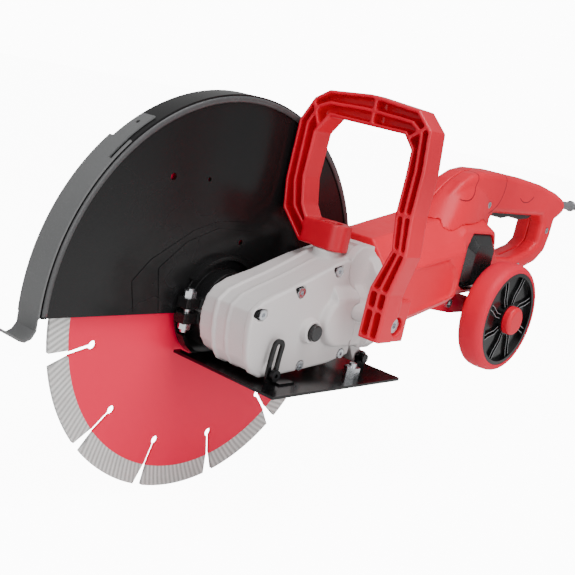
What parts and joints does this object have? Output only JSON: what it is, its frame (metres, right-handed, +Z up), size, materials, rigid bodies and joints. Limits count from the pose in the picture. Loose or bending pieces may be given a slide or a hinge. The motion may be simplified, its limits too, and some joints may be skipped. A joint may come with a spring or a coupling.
{
  "type": "concrete cut-off saw",
  "caption": "Hand-held electric concrete saw: half-round blade guard, segmented diamond disc, gearbox on a tilting base plate, loop front handle, closed rear grip, guide wheels and flex",
  "frame": {"origin": "centre of the top grip of the front loop handle, where the saw hangs when it is carried", "axes": "+X is the way the saw is pushed and points from the rear grip to the blade's front; +Y is the operator's left and runs along the blade spindle; +Z is up, square to the base plate"},
  "size_m": [1.0367, 0.2934, 0.3922],
  "materials": {
    "cast_alloy": "cast, painted light warm grey, satin",
    "steel": "ground steel",
    "zinc_steel": "zinc plated",
    "black_screw": "blackened steel",
    "bearing_steel": "polished rings",
    "core_steel": "red satin enamel",
    "diamond_segment": "sintered metal, ground",
    "guard_black": "black powder coat",
    "guard_grey": "grey speckled powder coat",
    "plate_black": "gloss black enamel",
    "red_plastic": "moulded, fine texture",
    "black_plastic": "moulded, satin",
    "red_rubber": "polyurethane tyre, matt",
    "black_rubber": "flexible sheath, matt",
    "copper": "enamelled winding wire",
    "lamination": "stacked sheet",
    "carbon": "pressed carbon",
    "red_metal": "red powder coat",
    "brass_pins": "plated pins"
  },
  "bodies": {
    "saw_body": {"gear_housing": "cast_alloy", "gear_cover": "cast_alloy", "cover_screws": "black_screw", "gear_bearings": "bearing_steel", "motor_bearings": "bearing_steel", "stator_core": "lamination", "field_coils": "copper", "brush_holders": "black_plastic", "carbon_brushes": "carbon", "motor_housing": "red_plastic", "vent_covers": "black_plastic", "rear_handle_left": "red_plastic", "rear_handle_right": "red_plastic", "handle_screws": "zinc_steel", "switch_module": "black_plastic", "top_handle": "red_plastic", "top_handle_bolts": "zinc_steel", "depth_screw": "black_screw", "base_hinge_pin": "steel", "axle": "steel", "axle_bracket": "red_metal", "bracket_screws": "zinc_steel", "strain_relief": "black_rubber", "power_cord": "black_rubber", "cord_coil": "black_rubber", "cord_tail": "black_rubber", "cord_tie": "black_plastic", "plug_body": "black_rubber", "plug_pins": "brass_pins"},
    "spindle_group": {"spindle": "steel", "blade_core": "core_steel", "blade_segments": "diamond_segment", "blade_flanges": "steel", "arbor_bolt": "zinc_steel", "spindle_gear": "steel"},
    "intermediate_group": {"intermediate_shaft": "steel", "intermediate_pinion": "steel", "bevel_gear": "steel"},
    "armature": {"armature_shaft": "steel", "bevel_pinion": "steel", "armature_core": "lamination", "armature_windings": "copper", "commutator": "copper", "cooling_fan": "black_plastic"},
    "guard": {"guard_shell": "guard_black", "guard_collar": "guard_black", "guard_clamp_bolt": "zinc_steel"},
    "guard_front": {"guard_extension": "guard_grey"},
    "base": {"base_plate": "plate_black", "depth_bracket": "plate_black", "base_bolt": "zinc_steel"},
    "trigger_body": {"trigger": "black_plastic"},
    "lock_button_body": {"lock_button": "black_plastic"},
    "spindle_lock": {"spindle_lock_button": "black_plastic"},
    "wheel_left": {"wheel_hub_left": "black_plastic", "wheel_tyre_left": "red_rubber", "wheel_cap_left": "red_plastic"},
    "wheel_right": {"wheel_hub_right": "black_plastic", "wheel_tyre_right": "red_rubber", "wheel_cap_right": "red_plastic"}
  },
  "joints": [
    {"name": "blade_spin", "type": "hinge", "parent": "saw_body", "child": "spindle_group", "pos_m": [0.0675, -0.095, -0.201], "axis": [0, 1, 0], "continuous": true},
    {"name": "intermediate_spin", "type": "hinge", "parent": "saw_body", "child": "intermediate_group", "pos_m": [0.0182, -0.033, -0.17897], "axis": [0, 1, 0], "continuous": true},
    {"name": "motor_spin", "type": "hinge", "parent": "saw_body", "child": "armature", "pos_m": [0.0182, -0.033, -0.17897], "axis": [-0.9681, 0, 0.2504], "continuous": true},
    {"name": "guard_swing", "type": "hinge", "parent": "saw_body", "child": "guard", "pos_m": [0.0675, -0.089, -0.201], "axis": [0, 1, 0], "range_deg": [-10, 12]},
    {"name": "guard_front_slide", "type": "hinge", "parent": "guard", "child": "guard_front", "pos_m": [0.0675, -0.1, -0.201], "axis": [0, 1, 0], "range_deg": [0, 24]},
    {"name": "base_tilt", "type": "hinge", "parent": "saw_body", "child": "base", "pos_m": [-0.0505, -0.029, -0.228], "axis": [0, 1, 0], "range_deg": [0, 10]},
    {"name": "trigger_pull", "type": "hinge", "parent": "saw_body", "child": "trigger_body", "pos_m": [-0.2805, -0.033, -0.079], "axis": [0, 1, 0], "range_deg": [0, 4], "stiffness_Nm_per_rad": 1.2, "springref_deg": -2.86},
    {"name": "lock_button_press", "type": "slide", "parent": "saw_body", "child": "lock_button_body", "axis": [0, 1, 0], "range_m": [0, 0.003], "stiffness_N_per_m": 600, "springref_m": -0.001},
    {"name": "spindle_lock_press", "type": "slide", "parent": "saw_body", "child": "spindle_lock", "axis": [0, -1, 0], "range_m": [0, 0.003], "stiffness_N_per_m": 800, "springref_m": -0.001},
    {"name": "wheel_left_spin", "type": "hinge", "parent": "saw_body", "child": "wheel_left", "pos_m": [-0.2325, 0.037, -0.18205], "axis": [0, 1, 0], "continuous": true},
    {"name": "wheel_right_spin", "type": "hinge", "parent": "saw_body", "child": "wheel_right", "pos_m": [-0.2325, -0.103, -0.18205], "axis": [0, 1, 0], "continuous": true}
  ],
  "couplings": [
    {"joint": "intermediate_spin", "follows": "blade_spin", "ratio": -1.25},
    {"joint": "motor_spin", "follows": "blade_spin", "ratio": 4.125}
  ]
}
